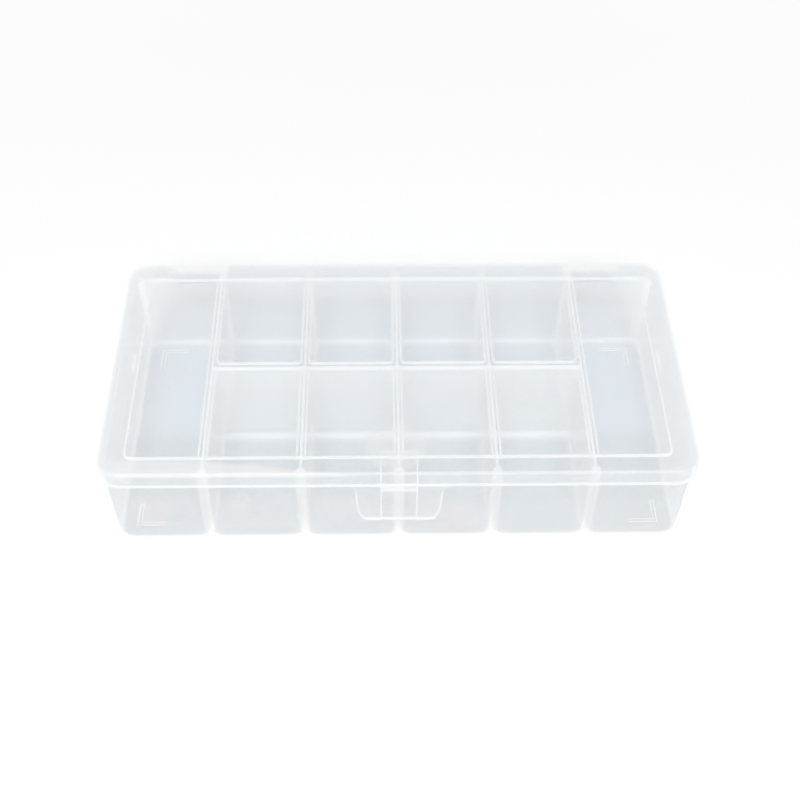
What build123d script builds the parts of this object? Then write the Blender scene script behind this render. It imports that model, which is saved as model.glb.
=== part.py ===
"""Clear compartment box with one hinged lid: a drafted tray with fixed dividers, a flat lid with a
shallow skirt, and a flexing latch tab in the middle of the lid's front skirt.

Millimetres. +Z is up, +Y is the hinge side, +X is to the right as seen from the latch side.
"""

import os
from math import asin, atan, cos, radians, sin, tan

from build123d import *

os.makedirs("parts", exist_ok=True)

# Overall sizes, measured over the lid's lower edge and from the feet to the lid's top.
length = 230.0
depth = 120.0
height = 45.0

# Lid
plate = 1.2
skirt_wall = 1.1
skirt_drop = 7.0
lid_corner = 9.5
lid_round = 1.3
lid_draft = 1.6
lid_slope = tan(radians(lid_draft))
skirt_z = height - skirt_drop
plate_z = height - plate

# Tray. Its long walls lean out more than its end walls.
wall = 1.2
end_gap = 0.5
side_gap = 1.1
rim_gap = 1.15
end_draft = 1.3
side_draft = 2.7
foot = 0.8
floor = 1.2
tub_corner = 8.0
tub_corner_base = 6.5
tub_round = 3.6
rim_z = plate_z - rim_gap
floor_z = foot + floor
rim_x = length / 2 - skirt_wall - end_gap
rim_y = depth / 2 - skirt_wall - side_gap
end_slope = tan(radians(end_draft))
side_slope = tan(radians(side_draft))

# Compartments: the columns between the end ones are split by the middle divider, and all the
# columns are equally wide halfway up.
columns = 4
end_columns = 2
divider_top = 1.0
divider_base = 2.0
mid_y = -1.0
pocket_corner_top = 1.2
pocket_corner_base = 3.2
pocket_round = 2.4
mid_room = 2 * (rim_x - wall) - end_slope * (rim_z - floor_z)
pitch = (mid_room + (divider_top + divider_base) / 2) / (columns + end_columns)
divider_x = [(i - columns / 2) * pitch for i in range(columns + 1)]

# Round posts at the ends of the dividers
post_r = 1.74
post_inset = 0.1

# Grooves under the dividers and the notches where they come out
groove_half = 3.8
groove_rise = 2.2
groove_sink = 0.06
notch_half = 4.9
notch_rise = 1.92
groove_top_share = 0.23
notch_top_share = 0.4
notch_lean = 45.0

# L-shaped feet
foot_end_inset = 8.5
foot_side_inset = 8.1
foot_leg = 11.6
foot_width = 1.4
foot_corner = 2.5
foot_x = rim_x - foot_end_inset
foot_y = rim_y - foot_side_inset

# Ribs under the lid
rib = 0.9
rib_drop = 1.0
rib_end_inset = 9.9
rib_front_inset = 10.3
rib_back_inset = 8.9
rib_corner = 3.0
rib_cell_corner = 2.0
rib_side = 1.6
rib_mid = 1.68
rib_past = 0.9
rib_x = length / 2 - rib_end_inset
rib_front = rib_front_inset - depth / 2
rib_back = depth / 2 - rib_back_inset

# Low pads under the lid's ends
pad_inset = 7.2
pad_y = 1.0
pad_width = 3.3
pad_length = 10.0
pad_drop = 0.3

# Latch tab. Its heights are measured down from the skirt's lower edge.
tab = 1.2
tab_length = 19.8
tab_neck = 16.9
tab_flare = 3.0
tab_flare_r = 3.4
tab_side = 16.1
tab_foot = 13.9
tab_chamfer = 4.9
tab_round = 2.4

# Hook on the tab and catch on the tray, also measured down from the skirt's lower edge
hook_half = 6.6
hook_reach = 0.95
hook_high = 4.3
hook_edge = 5.4
hook_low = 7.5
latch_gap = 0.2
catch_reach = 1.0
catch_edge = 2.8
catch_high = 1.2
catch_ledge_z = skirt_z - hook_high + latch_gap
catch_edge_z = skirt_z - catch_edge
catch_top_z = skirt_z - catch_high

# Moulding insert's step round the latch
insert_half = 6.9
insert_inset = 10.3
insert_step = 0.12

# Hinges: a pin between two ears on the tray, and a clip on the lid that snaps over the pin
hinge_out = 1.9
hinge_drop = 3.7
pin_r = 1.0
pin_clearance = 0.05
clip_r = 1.95
clip_mouth = 1.6
clip_length = 16.0
ear_inset = 17.6
ear_r = 1.9
ear = 1.5
ear_low = 3.2
ear_side_gap = 0.3
ear_inner_gap = 0.5
gusset_above = 0.7
gusset_land = 0.6
notch_above = 1.3
notch_side = 0.3
hinge_y = depth / 2 + hinge_out
hinge_z = skirt_z - hinge_drop
ear_out = length / 2 - ear_inset
clip_out = ear_out - ear - ear_side_gap
clip_in = clip_out - clip_length
ear_in = clip_in - ear_inner_gap - ear

# Bevelled root that carries each clip on the back skirt
root_past_in = 6.8
root_short_out = 0.6
root_end_bevel = 2.1
root_bevel = 1.6
root_reach = 1.3
root_under_top = 2.6
root_below = 0.8
web = 1.0
root_in = clip_in - root_past_in
root_out = clip_out - root_short_out
root_y = depth / 2 + root_reach
root_top_z = height - root_under_top
root_low_z = skirt_z - root_below

over = 1.0


def tub_x(z):
    """Half length of the tray's outside at height z."""
    return rim_x - end_slope * (rim_z - z)


def tub_y(z):
    """Half depth of the tray's outside at height z."""
    return rim_y - side_slope * (rim_z - z)


def lid_block(inset, z0, z1):
    """Drafted block from z0 to z1 whose sides lie the given inset inside the lid's outside."""
    grow = lid_slope * (skirt_z - z0) - inset
    plan = RectangleRounded(length + 2 * grow, depth + 2 * grow, lid_corner - inset)
    return extrude(Pos(0, 0, z0) * plan, z1 - z0, taper=lid_draft)


def divider_half(z):
    """Half thickness of a divider at height z."""
    share = (rim_z - z) / (rim_z - floor_z)
    return (divider_top + (divider_base - divider_top) * share) / 2


def pocket_section(left, right, front, back, z, corner):
    """One level of a compartment. None stands for an outer wall, a number for a divider's middle."""
    inner_x = tub_x(z) - wall
    inner_y = tub_y(z) - wall
    half = divider_half(z)
    x0 = -inner_x if left is None else left + half
    x1 = inner_x if right is None else right - half
    y0 = -inner_y if front is None else front + half
    y1 = inner_y if back is None else back - half
    return Pos((x0 + x1) / 2, (y0 + y1) / 2, z) * RectangleRounded(x1 - x0, y1 - y0, corner)


def pocket(left, right, front, back):
    """The hollow of one compartment, from the floor to above the rim."""
    base = pocket_section(left, right, front, back, floor_z, pocket_corner_base)
    top = pocket_section(left, right, front, back, rim_z + over, pocket_corner_top)
    hollow = loft([base, top], ruled=True)
    return fillet(hollow.faces().sort_by(Axis.Z)[0].edges(), pocket_round)


def bell(half, rise, top_share):
    """Bell-shaped profile on the local XY plane with its base line just under local Y = 0."""
    turn = 2 * atan(rise / half)
    total = half / sin(turn)
    top_r = total * top_share
    flare_r = total - top_r
    flare_mid = (half - flare_r * sin(turn / 2), flare_r * (1 - cos(turn / 2)))
    join = (half - flare_r * sin(turn), flare_r * (1 - cos(turn)))
    left = ThreePointArc((-half, 0), (-flare_mid[0], flare_mid[1]), (-join[0], join[1]))
    top = ThreePointArc(left @ 1, (0, rise), join)
    right = ThreePointArc(join, flare_mid, (half, 0))
    base = Polyline((half, 0), (half, -over), (-half, -over), (-half, 0))
    return make_face([left.edge(), top.edge(), right.edge(), *base.edges()])


def groove(run, at_x, at_y, turned):
    """Groove along Y, or along X when turned, in the tray's underside."""
    level = foot - groove_sink
    profile = Plane.XZ * bell(groove_half, groove_rise, groove_top_share)
    bar = extrude(profile, run / 2, both=True)
    return Pos(at_x, at_y, level) * (Rot(0, 0, 90) * bar if turned else bar)


def end_notch(at_x, side):
    """Notch where a groove comes out through the wall. side is -1 at the front and 1 at the back."""
    centre_y = tub_y(foot) - tub_round
    centre_z = foot + tub_round
    reach = tub_round - groove_sink
    lean = radians(notch_lean)
    start = (at_x, -(centre_y + reach * sin(lean)), centre_z - reach * cos(lean))
    inward = (0, cos(lean), -sin(lean))
    plane = Plane(origin=start, x_dir=(-1, 0, 0), z_dir=inward)
    bar = extrude(plane * bell(notch_half, notch_rise, notch_top_share), 3 * tub_round, both=True)
    return bar if side < 0 else mirror(bar, about=Plane.XZ)


def post(at_x, side):
    """Leaning round post inside the front (-1) or back (1) wall."""
    out = rim_y - post_inset - post_r
    origin = (at_x, side * out, rim_z + over)
    lean = radians(side_draft)
    axis = Plane(origin=origin, x_dir=(1, 0, 0), z_dir=(0, -side * sin(lean), -cos(lean)))
    return extrude(axis * Circle(post_r), 2 * height)


def foot_ridge(sx, sy):
    """L-shaped ridge under one corner."""
    outer = Rectangle(2 * foot_leg, 2 * foot_leg)
    inner = Rectangle(2 * (foot_leg - foot_width), 2 * (foot_leg - foot_width))
    ring = fillet(outer.vertices(), foot_corner) - fillet(inner.vertices(), foot_corner - foot_width)
    corner = ring & Pos(foot_leg / 2, foot_leg / 2) * Rectangle(foot_leg, foot_leg)
    corner = Pos(foot_x - foot_leg, foot_y - foot_leg) * corner
    if sx < 0:
        corner = mirror(corner, about=Plane.YZ)
    if sy < 0:
        corner = mirror(corner, about=Plane.XZ)
    return extrude(corner, foot + floor / 2, dir=(0, 0, 1))


def along_x(profile, x0, x1):
    """Extrudes a profile drawn in (Y, Z) from x0 to x1."""
    return extrude(Pos(x0, 0, 0) * (Plane.YZ * profile), x1 - x0, dir=(1, 0, 0))


def both_sides(shape):
    """The shape and its mirror image across the middle of the length."""
    return [shape, mirror(shape, about=Plane.YZ)]


def tub_block():
    """Outside of the tray, leaning out to the rim and rounded along the bottom."""
    low = Pos(0, 0, foot) * RectangleRounded(2 * tub_x(foot), 2 * tub_y(foot), tub_corner_base)
    rim = Pos(0, 0, rim_z) * RectangleRounded(2 * rim_x, 2 * rim_y, tub_corner)
    block = loft([low, rim], ruled=True)
    return fillet(block.faces().sort_by(Axis.Z)[0].edges(), tub_round)


def catch():
    """Wedge on the front wall under which the latch tab's hook sits."""
    root = tub_y(catch_ledge_z) - wall / 2
    tip = tub_y(catch_ledge_z) + catch_reach
    profile = Polygon((-root, catch_ledge_z), (-root, catch_top_z), (-tub_y(catch_top_z), catch_top_z),
                      (-tip, catch_edge_z), (-tip, catch_ledge_z), align=None)
    return along_x(profile, -hook_half, hook_half)


def hinge_ears():
    """Right-hand pair of ears with the pin between them, on the tray's back wall."""
    back = tub_y(hinge_z) - wall / 2
    arm = Polygon((back, hinge_z + ear_r), (hinge_y, hinge_z + ear_r), (hinge_y, hinge_z - ear_r),
                  (back, hinge_z - ear_low), align=None)
    arm += Pos(hinge_y, hinge_z) * Circle(ear_r)
    gusset_z = skirt_z + gusset_above
    gusset = Polygon((back, hinge_z), (back, gusset_z), (tub_y(gusset_z) + gusset_land, gusset_z),
                     (hinge_y, hinge_z), align=None)
    ears = along_x(arm, ear_in, ear_in + ear) + along_x(arm + gusset, ear_out - ear, ear_out)
    return ears + along_x(Pos(hinge_y, hinge_z) * Circle(pin_r), ear_in, ear_out)


def make_tub():
    """Tray with its compartments, posts, grooves, feet, catch and hinge ears."""
    block = tub_block()
    tub = block - pocket(None, divider_x[0], None, None) - pocket(divider_x[-1], None, None, None)
    for left, right in zip(divider_x, divider_x[1:]):
        tub -= pocket(left, right, None, mid_y)
        tub -= pocket(left, right, mid_y, None)

    for at_x in divider_x:
        for side in (-1, 1):
            tub += post(at_x, side) & block

    for at_x in divider_x:
        tub -= groove(depth, at_x, 0, False)
        for side in (-1, 1):
            tub -= end_notch(at_x, side)
    tub -= groove(divider_x[-1] - divider_x[0], 0, mid_y, True)

    for sx in (-1, 1):
        for sy in (-1, 1):
            tub += foot_ridge(sx, sy)
    tub += catch()
    for shape in both_sides(hinge_ears()):
        tub += shape
    return tub


def rib_cell(x0, x1, y0, y1, picked, radius):
    """Rib loop on centre lines x0..x1, y0..y1, with the picked corners rounded."""
    middle = Pos((x0 + x1) / 2, (y0 + y1) / 2)
    outer = Rectangle(x1 - x0 + rib, y1 - y0 + rib)
    inner = Rectangle(x1 - x0 - rib, y1 - y0 - rib)
    outer = fillet([v for v in outer.vertices() if picked(v)], radius + rib / 2)
    inner = fillet([v for v in inner.vertices() if picked(v)], radius - rib / 2)
    return middle * (outer - inner)


def rib_plan():
    """Plan of all the ribs under the lid."""
    front_mid = mid_y - rib_mid
    back_mid = mid_y + rib_mid
    left = divider_x[0] - rib_side
    plan = rib_cell(-rib_x, left, rib_front, rib_back, lambda v: v.X < 0, rib_corner)
    plan += mirror(plan, about=Plane.YZ)
    for x0, x1 in zip(divider_x, divider_x[1:]):
        x0, x1 = x0 + rib_side, x1 - rib_side
        plan += rib_cell(x0, x1, rib_front, front_mid, lambda v: v.Y > 0, rib_cell_corner)
        plan += rib_cell(x0, x1, back_mid, rib_back, lambda v: v.Y < 0, rib_cell_corner)
        for at_y, past in ((rib_front, -rib_past), (rib_back, rib_past)):
            for at_x in (x0, x1):
                plan += Pos(at_x, at_y + past / 2) * Rectangle(rib, rib_past)
    for at_x in divider_x:
        for at_y in (rib_front, rib_back):
            plan += Pos(at_x, at_y) * Rectangle(2 * rib_side, rib)
    return plan


def hinge_root():
    """Right-hand bevelled root on the back skirt."""
    in_y = depth / 2 - skirt_wall / 2
    profile = Polygon((in_y, root_low_z), (in_y, root_top_z), (root_y - root_bevel, root_top_z),
                      (root_y, root_top_z - root_bevel), (root_y, root_low_z), align=None)
    plan = Polygon((root_in, in_y), (root_out, in_y), (root_out, depth / 2),
                   (root_out - root_end_bevel, root_y), (root_in + root_end_bevel, root_y),
                   (root_in, depth / 2), align=None)
    return along_x(profile, root_in, root_out) & extrude(plan, height, dir=(0, 0, 1))


def hinge_clip():
    """Right-hand clip: a ring open at the bottom, hung from the root by a web."""
    ring = Pos(hinge_y, hinge_z) * Circle(clip_r)
    ring += Polygon((root_y - web, hinge_z), (root_y, hinge_z), (root_y, root_low_z + web),
                    (root_y - web, root_low_z + web), align=None)
    ring -= Pos(hinge_y, hinge_z) * Circle(pin_r + pin_clearance)
    ring -= Pos(hinge_y, hinge_z - clip_r) * Rectangle(clip_mouth, 2 * clip_r)
    return along_x(ring, clip_in, clip_out)


def ear_slot():
    """Right-hand slot in the back skirt that clears the outer ear's gusset."""
    slot_in = ear_out - ear - notch_side
    slot_out = ear_out + notch_side
    slot = Box(slot_out - slot_in, 6 * skirt_wall, 2 * skirt_drop)
    return Pos((slot_in + slot_out) / 2, depth / 2, skirt_z + notch_above - skirt_drop) * slot


def make_lid():
    """Lid with its skirt, ribs, pads and hinge clips."""
    outside = lid_block(0, skirt_z, height)
    outside = fillet(outside.faces().sort_by(Axis.Z)[-1].edges(), lid_round)
    inside = lid_block(skirt_wall, skirt_z - over, plate_z)
    inside = fillet(inside.faces().sort_by(Axis.Z)[-1].edges(), lid_round - skirt_wall)

    band = Pos(0, insert_inset - depth, height) * Box(2 * insert_half, depth, 4 * skirt_drop)
    step = (band & outside) - Pos(0, insert_step, -insert_step) * outside
    lid = outside - inside - step

    lid += extrude(Pos(0, 0, plate_z - rib_drop) * rib_plan(), rib_drop + plate / 2, dir=(0, 0, 1))
    pad = Pos(length / 2 - pad_inset, pad_y, plate_z) * Box(pad_width, pad_length, 2 * pad_drop)
    for shape in both_sides(pad):
        lid += shape
    for cut in both_sides(ear_slot()):
        lid -= cut
    for shape in both_sides(hinge_root() + hinge_clip()):
        lid += shape
    return lid


def tab_outline():
    """Tab's outline below the skirt's lower edge, which is at local Y = 0."""
    flare_x = tab_neck + tab_flare_r
    turn = asin(tab_flare / tab_flare_r)
    top = (flare_x - tab_flare_r * cos(turn), 0)
    bend = (flare_x - tab_flare_r * cos(turn / 2), tab_flare_r * sin(turn / 2) - tab_flare)
    neck = (tab_neck, -tab_flare)
    right = ThreePointArc(top, bend, neck)
    left = ThreePointArc((-neck[0], neck[1]), (-bend[0], bend[1]), (-top[0], top[1]))
    low = Polyline(neck, (tab_side, tab_chamfer - tab_length), (tab_foot, -tab_length),
                   (-tab_foot, -tab_length), (-tab_side, tab_chamfer - tab_length), (-neck[0], neck[1]))
    root = Line(left @ 1, top)
    outline = make_face([right.edge(), *low.edges(), left.edge(), root.edge()])
    return fillet([v for v in outline.vertices() if v.Y < -tab_flare - over], tab_round)


def make_latch_tab():
    """Tab in the plane of the front skirt, built upright and then leaned to the skirt's draft."""
    sheet = extrude(Plane.XZ * tab_outline(), tab, dir=(0, 1, 0))
    hook = Polygon((tab / 2, -hook_low), (tab / 2, -hook_high), (tab + hook_reach, -hook_high),
                   (tab + hook_reach, -hook_edge), (tab, -hook_low), align=None)
    body = sheet + along_x(hook, -hook_half, hook_half)
    body -= Pos(0, insert_step - over, -tab_length / 2) * Box(2 * insert_half, 2 * over, 2 * tab_length)
    return Pos(0, -depth / 2, skirt_z) * (Rot(-lid_draft, 0, 0) * body)


parts = {"tub": make_tub(), "lid": make_lid(), "latch_tab": make_latch_tab()}

# The origin is the middle of the whole box's outline, at the bottom of the feet.
reach = Compound([s for shape in parts.values() for s in shape.solids()]).bounding_box()
for name, shape in parts.items():
    solids = (Pos(0, -reach.center().Y, 0) * shape).solids()
    out = solids[0] if len(solids) == 1 else Compound(solids)
    out.label = name
    export_step(out, "parts/" + name + ".step")
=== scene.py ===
"""Looks of a clear polypropylene compartment box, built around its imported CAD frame.

Metres. +Z is up, +Y is the hinge side, +X is to the right as seen from the latch side.
"""

import math

import bpy
from mathutils import Matrix, Vector


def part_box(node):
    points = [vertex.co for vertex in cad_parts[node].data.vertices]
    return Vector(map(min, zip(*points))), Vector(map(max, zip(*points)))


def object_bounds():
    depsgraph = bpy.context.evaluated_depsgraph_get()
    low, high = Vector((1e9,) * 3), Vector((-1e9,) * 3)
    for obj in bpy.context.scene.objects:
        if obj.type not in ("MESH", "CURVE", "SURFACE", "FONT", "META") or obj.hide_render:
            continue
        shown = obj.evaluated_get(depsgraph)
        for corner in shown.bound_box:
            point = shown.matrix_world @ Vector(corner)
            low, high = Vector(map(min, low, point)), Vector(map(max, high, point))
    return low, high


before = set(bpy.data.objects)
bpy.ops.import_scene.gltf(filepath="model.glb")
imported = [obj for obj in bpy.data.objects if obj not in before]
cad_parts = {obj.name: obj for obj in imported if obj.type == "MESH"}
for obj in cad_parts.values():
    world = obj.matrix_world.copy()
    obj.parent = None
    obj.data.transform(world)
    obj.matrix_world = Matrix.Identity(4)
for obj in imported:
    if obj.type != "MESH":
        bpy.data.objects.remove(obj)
cad_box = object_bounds()

MM = 0.001
WHITE = (1, 1, 1, 1)


def mm(*sizes):
    """Millimetres as a tuple in metres."""
    return tuple(size * MM for size in sizes)


# Camera, placed from the middle of the lid at the height of the floor
PHOTO_SIDE = 800
FOCAL_PX = 1348.41
CAMERA_PITCH = math.radians(47.112)
CAMERA_YAW = math.radians(-1.382)
CAMERA_ROLL = math.radians(0.690)
CAMERA_FROM_LID = Vector((-7.947, -384.243, 435.485)) * MM
SENSOR = 36.0

# Floor, which fades to plain white between two distances from the middle of the box
FLOOR_REACH = 6.0
FLOOR_DROP = 0.2 * MM
FLOOR_COLOUR = (0.92, 0.92, 0.92, 1)
FLOOR_LIFT = 0.05
FLOOR_FADE = (0.2, 0.6)

# Light. The strip is a long white panel overhead, which shows only in gloss.
WORLD_LIGHT = 0.52
STRIP_LIGHT = 1.5
STRIP_WIDTH = 0.12
STRIP_FROM = 0.85
KEY_PLACE = Vector((-0.1, -2.8, 3.2))
KEY_TARGET = Vector((0, 0, 0.02))
KEY_SIZE = 1.8
KEY_POWER = 134.0

# Gloss. A noise is given as its scale and detail.
IOR = 1.49
ROUGHNESS = (0.09, 0.17)
ROUGHNESS_NOISE = (120.0, 4.0)
RIPPLE_STRENGTH = 0.25
RIPPLE_DEPTH = 0.1 * MM
RIPPLE_NOISE = (60.0, 2.0)
RIPPLE_STRETCH = (1.0, 2.5, 1.0)
NOISE_SPAN = (0.3, 0.7)

# What the plastic takes from light on its way through. The darker back tint is painted shade,
# for the shadow on the floor behind the box that shows through the back wall and the lid's margin.
TINT = (0.980, 0.988, 0.993, 1)
BACK_PAINTED_SHADE = (0.955, 0.966, 0.975, 1)
FRONT_TINT = (0.981, 0.983, 0.985, 1)
SHADE = (0.70, 0.745, 0.785, 1)
FRONT_SHADE = (0.63, 0.67, 0.70, 1)

# The haze that each surface adds. FORWARD_SHARE of it lets light that isn't seen directly go on.
HAZE_COLOUR = (0.975, 0.973, 0.97, 1)
WARM_HAZE = (1.0, 0.91, 0.91, 1)
FORWARD_SHARE = 0.5
TRANSLUCENT_SHARE = 0.5
SURFACE_HAZE = 0.10
CLOUD_NOISE = (35.0, 3.0)
CLOUD_LEAST = 0.8
CLOUD_MOST = 1.2
GRAZING_HAZE = 0.35
GRAZING_FROM = 0.45

# The haze added in each kind of place. The crease and rounding values draw painted highlights,
# and the edge value also draws painted light lines on the floor over the feet.
EDGE_HAZE_AND_PAINTED_LIGHT = 0.8
RIB_HAZE = 0.75
LINE_HAZE = 0.75
DIVIDER_TOP_HAZE = 0.7
RIM_HAZE = 0.5
TAB_RIM_HAZE = 0.5
FRONT_DIVIDER_HAZE = 0.48
HINGE_HAZE = 0.45
BACK_DIVIDER_HAZE = 0.36
MARGIN_CLOUD_HAZE = 0.36
CREASE_PAINTED_HIGHLIGHT = 0.35
MIDDLE_WALL_HAZE = 0.3
POST_HAZE = 0.3
RING_HAZE = 0.2
ROUNDING_PAINTED_HIGHLIGHT = 0.1
GLOW_HAZE = 0.1

# Places. Each ramp is given as where it is 0 and where it is 1, and each band as its middle, its
# half width and how far its edge fades. X and Y are measured from the middle of the lid.
LID_DEPTH = 120 * MM
LID_MIDDLE_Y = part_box("lid")[0].y + LID_DEPTH / 2
LID_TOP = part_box("lid")[1].z
PLATE = 1.2 * MM
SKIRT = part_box("latch_tab")[1].z
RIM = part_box("tub")[1].z
FLOOR_TOP = 2.0 * MM

# Which way a surface faces, by the size of its normal's Z: 0 is upright and 1 is level
UPRIGHT = (0.6, 0.3)
LEVEL = (0.3, 0.6)
PAST_UPRIGHT = (0.15, 0.4)
SHORT_OF_LEVEL = (0.98, 0.9)
ROUNDING = (0.65, 0.2, 0.15)

# Tray: dividers, posts, rim, creases and catch
PITCH = 37.496 * MM
BETWEEN_ENDS = (2.25 * PITCH, 2.2 * PITCH)
DIVIDER = mm(0, 1.15, 0.2)
MIDDLE_WALL = mm(-1.0, 1.15, 0.2)
FRONT_ROW = mm(-0.5, -1.5)
FROM_FRONT_WALL = mm(-53, -48)
POST = mm(0, 1.9, 0.15)
POST_ROW = mm(53.7, 54)
RIM_EDGE = (RIM - 0.5 * MM, RIM - 0.1 * MM)
ABOVE_FLOOR = (FLOOR_TOP, FLOOR_TOP + 2 * MM)
ON_FLOOR = (FLOOR_TOP, *mm(0.3, 0.1))
CREASE = (FLOOR_TOP + 0.75 * MM, *mm(0.2, 0.25))
CATCH_X = mm(0, 7, 0.1)
CATCH_Y = mm(-56.8, -57.2)
CATCH_Z = mm(35.3, 2, 0.2)

# Tray: the L-shaped feet, whose outlines are drawn as painted light lines on the floor above them.
# FEET_X and FEET_Y are the outer sides of their legs.
FOOT_Z = mm(0.8, 0.65)
FEET_X = 104.9 * MM
FEET_Y = 49.7 * MM
FOOT_LEG = 11.6 * MM
FOOT_LEG_FADE = 0.5 * MM
FOOT_HALF = 0.7 * MM
FOOT_LINE = mm(0.18, 0.15)

# Tray: walls, and the planes past which a face is an outer one. They lean out with height.
FRONT_WALL = mm(-51, -54)
BACK_WALL = mm(51, 54)
FRONT_HALF = mm(4, -4)
BELOW_SKIRT = (SKIRT, SKIRT - 2 * MM)
END_FACE = 112.1 * MM
END_DRAFT = 0.0227
SIDE_FACE = 55.5 * MM
SIDE_DRAFT = 0.0472
UNDERSIDE = 1.5 * MM

# Tray: the warm haze in the left bays
GLOW_NOISE = (45.0, 2.0)
GLOW_PATCHES = (0.38, 0.52)
GLOW_Y = mm(-52, -54)
GLOW_Z = mm(17, 6, 7)
GLOW_FROM_DIVIDER = mm(3, 7)
GLOW_FROM_END = mm(106, 98)
GLOW_RIGHT = mm(38, 30)

# Lid
INSIDE_X = mm(108, 107)
INSIDE_Y = mm(54, 53)
RIBS = (LID_TOP - PLATE - 0.8 * MM, *mm(0.5, 0.2))
END_RIBS = mm(100, 102)
SKIRT_EDGE = (SKIRT + 0.5 * MM, SKIRT + 0.1 * MM)
PLATE_EDGE = (LID_TOP - 2 * MM, LID_TOP - 1.5 * MM)
TOP_FACE = (LID_TOP - 1.5 * MM, LID_TOP - 1 * MM)
BACK_MARGIN = mm(52, 53)
HINGE_X = mm(85, 12, 0.5)
HINGE_Y = mm(54.3, 54.8)

# Outline of the moulding insert round the latch
INSERT_HALF = 6.9 * MM
INSERT_END = -48.3 * MM
INSERT_LINE = mm(0.15, 0.12)
INSERT_CORNER = 0.1 * MM

# Lid: the cloud on the front margin, whose edge leans from MARGIN_CLOUD_BEND left of the middle, and the
# ring round the insert, whose middle is RING_FORWARD in front
WAVE_NOISE = (30.0, 1.0)
WAVE = 9 * MM
MARGIN_CLOUD_X = mm(-64, 40, 12)
MARGIN_CLOUD_Y = mm(-51.5, -53.5)
MARGIN_CLOUD_BEND = 55 * MM
MARGIN_CLOUD_SLOPE = 0.2
RING_FORWARD = 46.5 * MM
RING = mm(8, 2, 4)

# Latch tab: half widths of its sides and of its chamfered foot, its rim, and its edges by the
# size of their normal's Y
TAB_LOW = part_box("latch_tab")[0].z
TAB_CHAMFER_TOP = 23.1 * MM
TAB_SIDE = 16.1 * MM
TAB_TAPER = 0.07
TAB_FOOT = 13.9 * MM
TAB_CHAMFER_LEAN = 0.45
TAB_RIM = mm(-0.75, -0.45)
TAB_RIM_LOW = (TAB_LOW + 0.75 * MM, TAB_LOW + 0.45 * MM)
TAB_RIM_TOP = (SKIRT - 2 * MM, SKIRT - 4 * MM)
TAB_EDGE = (0.75, 0.5)


def new_material(name):
    """An empty node material and its node tree."""
    material = bpy.data.materials.new(name)
    material.use_nodes = True
    material.node_tree.nodes.clear()
    return material, material.node_tree


def add_node(tree, kind, settings=None, **values):
    """A node of the given kind, with its settings.

    Values go to its input sockets by name, with _ for a space, or by number as i0.
    """
    made = tree.nodes.new(kind)
    for key, value in (settings or {}).items():
        setattr(made, key, value)
    for key, value in values.items():
        numbered = key[0] == "i" and key[1:].isdigit()
        socket = made.inputs[int(key[1:]) if numbered else key.replace("_", " ")]
        if isinstance(value, bpy.types.NodeSocket):
            tree.links.new(value, socket)
        else:
            socket.default_value = value
    return made


def add_math(tree, operation, first, second=0.0):
    """Output of a Math node."""
    return add_node(tree, "ShaderNodeMath", {"operation": operation}, i0=first, i1=second).outputs[0]


def add_range(tree, value, start, stop, low=0.0, high=1.0, smooth=True):
    """low up to start and high from stop on. start may lie above stop."""
    settings = {"interpolation_type": "SMOOTHSTEP"} if smooth else {}
    return add_node(tree, "ShaderNodeMapRange", settings, Value=value, From_Min=start, From_Max=stop,
                    To_Min=low, To_Max=high).outputs[0]


def add_mix(tree, share, first, second):
    """Colour that goes from first to second with share."""
    return add_node(tree, "ShaderNodeMix", {"data_type": "RGBA"}, i0=share, i6=first, i7=second).outputs[2]


def mix_shaders(tree, share, first, second):
    """Shader that goes from first to second with share."""
    return add_node(tree, "ShaderNodeMixShader", Fac=share, i1=first, i2=second).outputs[0]


def seen_directly(tree):
    """1 for camera, glossy and transmission rays, otherwise 0."""
    path = add_node(tree, "ShaderNodeLightPath").outputs
    first = add_math(tree, "MAXIMUM", path["Is Camera Ray"], path["Is Glossy Ray"])
    return add_math(tree, "MAXIMUM", first, path["Is Transmission Ray"])


class Masks:
    """Masks from 0 to 1 by place and by which way the surface faces, in one material."""

    def __init__(self, tree):
        self.tree = tree
        spot = add_node(tree, "ShaderNodeTexCoord")
        self.point = spot.outputs["Object"]
        self.x, y, self.z = add_node(tree, "ShaderNodeSeparateXYZ", i0=self.point).outputs
        self.y = self.math("SUBTRACT", y, LID_MIDDLE_Y)
        self.off_x, self.off_y = self.math("ABSOLUTE", self.x), self.math("ABSOLUTE", self.y)
        facing = add_node(tree, "ShaderNodeSeparateXYZ", i0=spot.outputs["Normal"]).outputs
        self.faces_y, self.faces_z = self.math("ABSOLUTE", facing["Y"]), self.math("ABSOLUTE", facing["Z"])

    def math(self, operation, first, second=0.0):
        """Output of a Math node."""
        return add_math(self.tree, operation, first, second)

    def ramp(self, value, start, stop):
        """0 up to start and 1 from stop on, smooth between. start may lie above stop."""
        return add_range(self.tree, value, start, stop)

    def band(self, value, middle, half, soft):
        """1 within half of middle, 0 from half + soft on."""
        away = self.math("ABSOLUTE", self.math("SUBTRACT", value, middle))
        return self.ramp(away, half + soft, half)

    def all(self, *masks):
        """Product of the masks."""
        whole = masks[0]
        for mask in masks[1:]:
            whole = self.math("MULTIPLY", whole, mask)
        return whole

    def any(self, *masks):
        """Highest of the masks."""
        whole = masks[0]
        for mask in masks[1:]:
            whole = self.math("MAXIMUM", whole, mask)
        return whole

    def no(self, mask):
        """The rest of a mask."""
        return self.math("SUBTRACT", 1.0, mask)

    def noise(self, scale, detail, stretch=(1, 1, 1)):
        """Noise from 0 to 1, finer with a larger scale."""
        stretched = add_node(self.tree, "ShaderNodeMapping", i0=self.point, i3=stretch)
        return add_node(self.tree, "ShaderNodeTexNoise", Vector=stretched.outputs[0],
                        Scale=scale, Detail=detail).outputs[0]


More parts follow.
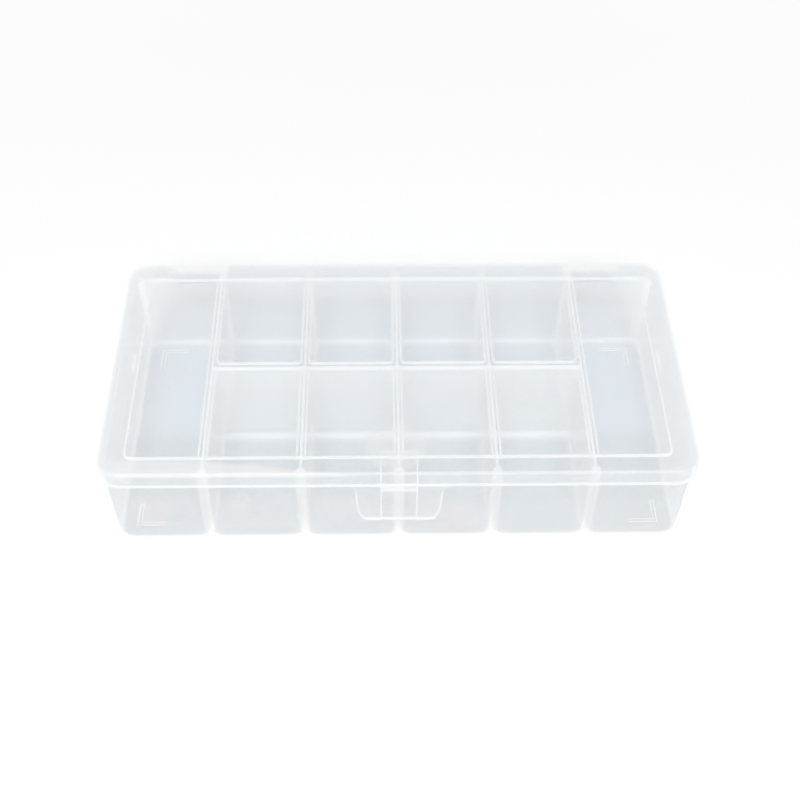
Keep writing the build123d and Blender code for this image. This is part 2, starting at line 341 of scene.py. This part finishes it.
def tub_places(at):
    """Hazier places of the tray: rim, dividers, posts, feet, creases, warm bays and catch. The
    creases hold a painted highlight, and the floor over the feet painted light lines.
    """
    from_divider = at.math("PINGPONG", at.x, PITCH / 2)
    between_ends = at.ramp(at.off_x, *BETWEEN_ENDS)
    above_floor = at.ramp(at.z, *ABOVE_FLOOR)
    front_row = at.ramp(at.y, *FRONT_ROW)
    rim = at.ramp(at.z, *RIM_EDGE)
    divider = at.all(at.band(from_divider, *DIVIDER), between_ends, above_floor)
    slanted = at.all(at.ramp(at.faces_z, *PAST_UPRIGHT), at.ramp(at.faces_z, *SHORT_OF_LEVEL))
    catch = at.all(at.band(at.x, *CATCH_X), at.ramp(at.y, *CATCH_Y), at.band(at.z, *CATCH_Z))
    return [
        (rim, RIM_HAZE),
        (at.all(rim, at.ramp(at.off_y, *INSIDE_Y), between_ends), DIVIDER_TOP_HAZE),
        (at.all(divider, at.no(front_row)), BACK_DIVIDER_HAZE),
        (at.all(divider, front_row, at.ramp(at.y, *FROM_FRONT_WALL)), FRONT_DIVIDER_HAZE),
        (at.all(at.band(at.y, *MIDDLE_WALL), between_ends, above_floor), MIDDLE_WALL_HAZE),
        (at.all(at.band(from_divider, *POST), between_ends, at.ramp(at.off_y, *POST_ROW)), POST_HAZE),
        (at.all(at.ramp(at.z, *FOOT_Z), at.ramp(at.faces_z, *UPRIGHT)), EDGE_HAZE_AND_PAINTED_LIGHT),
        # Painted highlight: a light line in the fillets where the walls meet the floor, for the light's
        # gleam.
        (at.all(slanted, at.band(at.z, *CREASE)), CREASE_PAINTED_HIGHLIGHT),
        # Painted light: light lines on the floor over the feet, for the light that the ridges below carry.
        (painted_foot_light_lines(at), EDGE_HAZE_AND_PAINTED_LIGHT),
        (front_glow(at), GLOW_HAZE),
        (at.all(catch, at.ramp(at.faces_z, *LEVEL)), EDGE_HAZE_AND_PAINTED_LIGHT),
    ]


def painted_foot_light_lines(at):
    """Painted light: outlines of the four feet, drawn as light lines on the floor above them."""
    past_x, past_y = at.math("SUBTRACT", at.off_x, FEET_X), at.math("SUBTRACT", at.off_y, FEET_Y)
    from_middle = at.math("ABSOLUTE", at.math("ADD", at.math("MAXIMUM", past_x, past_y), FOOT_HALF))
    end_x, end_y = FEET_X - FOOT_LEG, FEET_Y - FOOT_LEG
    return at.all(at.band(from_middle, FOOT_HALF, *FOOT_LINE),
                  at.ramp(at.off_x, end_x, end_x + FOOT_LEG_FADE),
                  at.ramp(at.off_y, end_y, end_y + FOOT_LEG_FADE),
                  at.band(at.z, *ON_FLOOR))


def front_glow(at):
    """Where the lower front of the tray's left bays has a warmer haze."""
    from_divider = at.math("PINGPONG", at.x, PITCH / 2)
    uneven = at.ramp(at.noise(*GLOW_NOISE), *GLOW_PATCHES)
    return at.all(at.ramp(at.y, *GLOW_Y), at.band(at.z, *GLOW_Z),
                  at.ramp(from_divider, *GLOW_FROM_DIVIDER), at.ramp(at.off_x, *GLOW_FROM_END),
                  at.ramp(at.x, *GLOW_RIGHT), uneven)


def insert_lines(at):
    """Witness lines of the moulding insert, down both of its sides."""
    return at.all(at.band(at.off_x, INSERT_HALF, *INSERT_LINE),
                  at.ramp(at.y, INSERT_END, INSERT_END - INSERT_CORNER))


def hinge_roots(at):
    """The two stretches of the lid's back margin that carry the hinge clips."""
    return at.all(at.band(at.off_x, *HINGE_X), at.ramp(at.y, *HINGE_Y))


def front_margin_cloud(at, wave):
    """Cloud on the left of the lid's front margin, with a wavy edge."""
    bend = at.math("MAXIMUM", at.math("ADD", at.x, MARGIN_CLOUD_BEND), 0.0)
    edge = at.math("ADD", at.math("ADD", at.y, wave), at.math("MULTIPLY", bend, MARGIN_CLOUD_SLOPE))
    return at.all(at.ramp(edge, *MARGIN_CLOUD_Y), at.band(at.x, *MARGIN_CLOUD_X), at.ramp(at.z, *TOP_FACE))


def insert_ring(at, wave):
    """Wavy ring in the lid's plate round the end of the insert."""
    along = at.math("POWER", at.x, 2.0)
    across = at.math("POWER", at.math("ADD", at.y, RING_FORWARD), 2.0)
    away = at.math("ADD", at.math("SQRT", at.math("ADD", along, across)), wave)
    return at.all(at.band(away, *RING), at.ramp(at.z, *PLATE_EDGE))


def lid_places(at):
    """Hazier places of the lid: ribs, skirt edge, rounding, hinge roots, insert, cloud and ring. The
    rounding holds a painted highlight.
    """
    inside = at.all(at.ramp(at.off_x, *INSIDE_X), at.ramp(at.off_y, *INSIDE_Y))
    rib = at.all(at.band(at.z, *RIBS), inside)
    wave = at.math("MULTIPLY", at.math("SUBTRACT", at.noise(*WAVE_NOISE), 0.5), WAVE)
    insert_end = at.all(at.band(at.y, INSERT_END, *INSERT_LINE),
                        at.ramp(at.off_x, INSERT_HALF, INSERT_HALF - INSERT_CORNER))
    return [
        (rib, RIB_HAZE),
        (at.all(rib, at.ramp(at.off_x, *END_RIBS)), RIB_HAZE),
        (at.ramp(at.z, *SKIRT_EDGE), EDGE_HAZE_AND_PAINTED_LIGHT),
        # Painted highlight: a lighter line along the lid's rounded top edge, for the light's gleam on it.
        (at.all(at.band(at.faces_z, *ROUNDING), at.ramp(at.z, *PLATE_EDGE)), ROUNDING_PAINTED_HIGHLIGHT),
        (hinge_roots(at), HINGE_HAZE),
        (insert_lines(at), LINE_HAZE),
        (insert_end, LINE_HAZE),
        (front_margin_cloud(at, wave), MARGIN_CLOUD_HAZE),
        (insert_ring(at, wave), RING_HAZE),
    ]


def tab_places(at):
    """Hazier places of the latch tab: its edges, its rim and the insert lines."""
    over_chamfer = at.math("SUBTRACT", at.z, TAB_CHAMFER_TOP)
    side = at.math("ADD", TAB_SIDE, at.math("MULTIPLY", over_chamfer, TAB_TAPER))
    over_foot = at.math("SUBTRACT", at.z, TAB_LOW)
    chamfer = at.math("ADD", TAB_FOOT, at.math("MULTIPLY", over_foot, TAB_CHAMFER_LEAN))
    past_outline = at.math("SUBTRACT", at.off_x, at.math("MINIMUM", side, chamfer))
    return [
        (at.ramp(at.faces_y, *TAB_EDGE), EDGE_HAZE_AND_PAINTED_LIGHT),
        (at.all(at.ramp(past_outline, *TAB_RIM), at.ramp(at.z, *TAB_RIM_TOP)), TAB_RIM_HAZE),
        (at.ramp(at.z, *TAB_RIM_LOW), TAB_RIM_HAZE),
        (insert_lines(at), LINE_HAZE),
    ]


def outer_skin(at, back_face):
    """The tray's outer faces, met from outside."""
    along = at.math("SUBTRACT", at.off_x, at.math("MULTIPLY", at.z, END_DRAFT))
    across = at.math("SUBTRACT", at.off_y, at.math("MULTIPLY", at.z, SIDE_DRAFT))
    skin = at.any(at.math("GREATER_THAN", along, END_FACE), at.math("GREATER_THAN", across, SIDE_FACE),
                  at.math("LESS_THAN", at.z, UNDERSIDE))
    return at.all(skin, at.no(back_face), at.math("LESS_THAN", at.z, RIM))


def haze_share(at, places, unseen):
    """How much of the light a surface scatters. Light that isn't seen directly meets less haze."""
    facing = add_node(at.tree, "ShaderNodeLayerWeight", Blend=0.5).outputs["Facing"]
    grazing = at.math("MULTIPLY", at.ramp(facing, GRAZING_FROM, 1.0), GRAZING_HAZE)
    cloud = add_range(at.tree, at.noise(*CLOUD_NOISE), *NOISE_SPAN, 1 - SURFACE_HAZE * CLOUD_LEAST,
                      1 - SURFACE_HAZE * CLOUD_MOST, smooth=False)
    clear = at.math("MULTIPLY", cloud, at.no(grazing))
    for mask, haze in places(at):
        clear = at.math("MULTIPLY", clear, at.no(at.math("MULTIPLY", mask, haze)))
    return at.all(at.no(clear), at.no(at.math("MULTIPLY", unseen, FORWARD_SHARE)))


def tray_tint(at, unseen, back_face):
    """What light loses in the tray.

    The outer skin darkens light that isn't seen directly, in place of the shadow that refraction
    leaves under and inside a real box. The back wall's darker tint is painted shade, for the shadow
    on the floor behind the box.
    """
    below_skirt = at.ramp(at.z, *BELOW_SKIRT)
    # Painted shade: the back wall takes a darker tint for the shadow on the floor behind the box.
    tint = add_mix(at.tree, at.all(at.ramp(at.y, *BACK_WALL), below_skirt), TINT, BACK_PAINTED_SHADE)
    tint = add_mix(at.tree, at.all(at.ramp(at.y, *FRONT_WALL), below_skirt), tint, FRONT_TINT)
    shade = add_mix(at.tree, at.ramp(at.y, *FRONT_HALF), SHADE, FRONT_SHADE)
    tint = add_mix(at.tree, unseen, tint, WHITE)
    return add_mix(at.tree, at.all(unseen, outer_skin(at, back_face)), tint, shade)


def lid_tint(at, unseen):
    """What light loses in the lid and the tab; the back margin's darker tint is painted shade."""
    # Painted shade: the back margin takes a darker tint for the shadow on the floor behind the box.
    back_margin = at.all(at.ramp(at.y, *BACK_MARGIN), at.no(hinge_roots(at)))
    return add_mix(at.tree, unseen, add_mix(at.tree, back_margin, TINT, BACK_PAINTED_SHADE), WHITE)


def clear_plastic(name, places, tray=False):
    """Clear plastic with a white haze on each surface, more in given places, partly painted light."""
    material, tree = new_material(name)
    at = Masks(tree)
    back_face = add_node(tree, "ShaderNodeNewGeometry").outputs["Backfacing"]
    unseen = at.no(seen_directly(tree))
    haze = haze_share(at, places, unseen)
    if tray:
        tint = tray_tint(at, unseen, back_face)
        colour = add_mix(tree, front_glow(at), HAZE_COLOUR, WARM_HAZE)
        # The painted light lines over the feet scatter only light from above, so they show brighter.
        translucent = at.math("MULTIPLY", at.no(painted_foot_light_lines(at)), TRANSLUCENT_SHARE)
    else:
        tint = lid_tint(at, unseen)
        colour = HAZE_COLOUR
        translucent = TRANSLUCENT_SHARE

    through = add_node(tree, "ShaderNodeBsdfTransparent", Color=tint).outputs[0]
    front = add_node(tree, "ShaderNodeBsdfDiffuse", Color=colour).outputs[0]
    back = add_node(tree, "ShaderNodeBsdfTranslucent", Color=colour).outputs[0]
    body = mix_shaders(tree, haze, through, mix_shaders(tree, translucent, front, back))

    roughness = add_range(tree, at.noise(*ROUGHNESS_NOISE), *NOISE_SPAN, *ROUGHNESS, smooth=False)
    ripple = add_node(tree, "ShaderNodeBump", Height=at.noise(*RIPPLE_NOISE, RIPPLE_STRETCH),
                      Strength=RIPPLE_STRENGTH, Distance=RIPPLE_DEPTH).outputs[0]
    gloss = add_node(tree, "ShaderNodeBsdfAnisotropic", Color=WHITE, Roughness=roughness,
                     Normal=ripple).outputs[0]
    fresnel = add_node(tree, "ShaderNodeFresnel", IOR=IOR).outputs[0]
    whole = mix_shaders(tree, at.all(fresnel, at.no(back_face)), body, gloss)
    out = add_node(tree, "ShaderNodeOutputMaterial")
    tree.links.new(whole, out.inputs["Surface"])
    return material


def floor_material():
    """Pale matte floor, lifted to white where it is looked at, and plain white away from the box."""
    material, tree = new_material("pale_floor")
    seen = seen_directly(tree)
    matte = add_node(tree, "ShaderNodeBsdfDiffuse", Color=FLOOR_COLOUR).outputs[0]
    lift = add_node(tree, "ShaderNodeEmission", Color=WHITE,
                    Strength=add_math(tree, "MULTIPLY", seen, FLOOR_LIFT)).outputs[0]
    near = add_node(tree, "ShaderNodeAddShader", i0=matte, i1=lift).outputs[0]
    place = add_node(tree, "ShaderNodeTexCoord").outputs["Object"]
    reach = add_node(tree, "ShaderNodeVectorMath", {"operation": "LENGTH"}, i0=place).outputs["Value"]
    plain = add_node(tree, "ShaderNodeEmission", Color=WHITE, Strength=1.0).outputs[0]
    whole = mix_shaders(tree, add_range(tree, reach, *FLOOR_FADE, high=seen), near, plain)
    out = add_node(tree, "ShaderNodeOutputMaterial")
    tree.links.new(whole, out.inputs["Surface"])
    return material


def add_floor():
    """Flat floor just under the feet."""
    mesh = bpy.data.meshes.new("floor")
    corners = [(x * FLOOR_REACH, y * FLOOR_REACH, 0) for x, y in ((-1, -1), (1, -1), (1, 1), (-1, 1))]
    mesh.from_pydata(corners, [], [(0, 1, 2, 3)])
    floor = bpy.data.objects.new("floor", mesh)
    bpy.context.scene.collection.objects.link(floor)
    floor.location.z = cad_box[0].z - FLOOR_DROP
    mesh.materials.append(floor_material())


def add_world():
    """Even soft light. What is seen directly is white, and gloss also shows the strip overhead."""
    world = bpy.data.worlds.new("studio")
    bpy.context.scene.world = world
    world.use_nodes = True
    world.cycles.sampling_method = "NONE"
    tree = world.node_tree
    tree.nodes.clear()
    towards = add_node(tree, "ShaderNodeTexCoord").outputs["Generated"]
    direction = add_node(tree, "ShaderNodeSeparateXYZ", i0=towards).outputs
    off_middle = add_math(tree, "ABSOLUTE", direction["Y"])
    strip = add_range(tree, off_middle, STRIP_WIDTH, STRIP_WIDTH / 2, high=STRIP_LIGHT)
    overhead = add_math(tree, "GREATER_THAN", direction["Z"], STRIP_FROM)
    glossy = add_node(tree, "ShaderNodeLightPath").outputs["Is Glossy Ray"]
    strength = add_node(tree, "ShaderNodeMath", {"operation": "MULTIPLY_ADD"},
                        i0=add_math(tree, "MULTIPLY", strip, overhead), i1=glossy, i2=1.0).outputs[0]
    soft = add_node(tree, "ShaderNodeBackground", Color=WHITE, Strength=WORLD_LIGHT).outputs[0]
    white = add_node(tree, "ShaderNodeBackground", Color=WHITE, Strength=strength).outputs[0]
    out = add_node(tree, "ShaderNodeOutputWorld")
    tree.links.new(mix_shaders(tree, seen_directly(tree), soft, white), out.inputs["Surface"])


def add_key_light():
    """Square area light high in front, aimed at the middle of the box. Gloss doesn't show it."""
    light = bpy.data.lights.new("key_light", "AREA")
    light.shape = "SQUARE"
    light.size = KEY_SIZE
    light.energy = KEY_POWER
    lamp = bpy.data.objects.new("key_light", light)
    bpy.context.scene.collection.objects.link(lamp)
    lamp.location = KEY_PLACE
    lamp.rotation_euler = (KEY_TARGET - KEY_PLACE).to_track_quat("-Z", "Y").to_euler()
    lamp.visible_camera = False
    lamp.visible_glossy = False


def add_camera():
    """Camera at the photograph's place, from its pitch, yaw and roll."""
    look = Vector((-math.sin(CAMERA_YAW) * math.cos(CAMERA_PITCH),
                   math.cos(CAMERA_YAW) * math.cos(CAMERA_PITCH), -math.sin(CAMERA_PITCH)))
    level = Vector((math.cos(CAMERA_YAW), math.sin(CAMERA_YAW), 0))
    above = level.cross(look)
    right = level * math.cos(CAMERA_ROLL) + above * math.sin(CAMERA_ROLL)
    up = above * math.cos(CAMERA_ROLL) - level * math.sin(CAMERA_ROLL)
    camera = bpy.data.cameras.new("camera")
    camera.sensor_width = SENSOR
    camera.lens = FOCAL_PX / PHOTO_SIDE * SENSOR
    holder = bpy.data.objects.new("camera", camera)
    bpy.context.scene.collection.objects.link(holder)
    turn = Matrix((right, up, -look)).transposed().to_4x4()
    place = Vector((0, LID_MIDDLE_Y, cad_box[0].z)) + CAMERA_FROM_LID
    holder.matrix_world = Matrix.Translation(place) @ turn
    bpy.context.scene.camera = holder


finishes = {
    "tub": clear_plastic("tub_plastic", tub_places, tray=True),
    "lid": clear_plastic("lid_plastic", lid_places),
    "latch_tab": clear_plastic("tab_plastic", tab_places),
}
for name, finish in finishes.items():
    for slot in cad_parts[name].material_slots:
        slot.material = finish

add_floor()
add_world()
add_key_light()
add_camera()

scene = bpy.context.scene
scene.view_settings.view_transform = "Standard"
scene.cycles.max_bounces = 12
scene.cycles.transparent_max_bounces = 48
scene.cycles.transmission_bounces = 24
scene.cycles.diffuse_bounces = 4
scene.cycles.glossy_bounces = 4
scene.cycles.denoising_input_passes = "RGB"
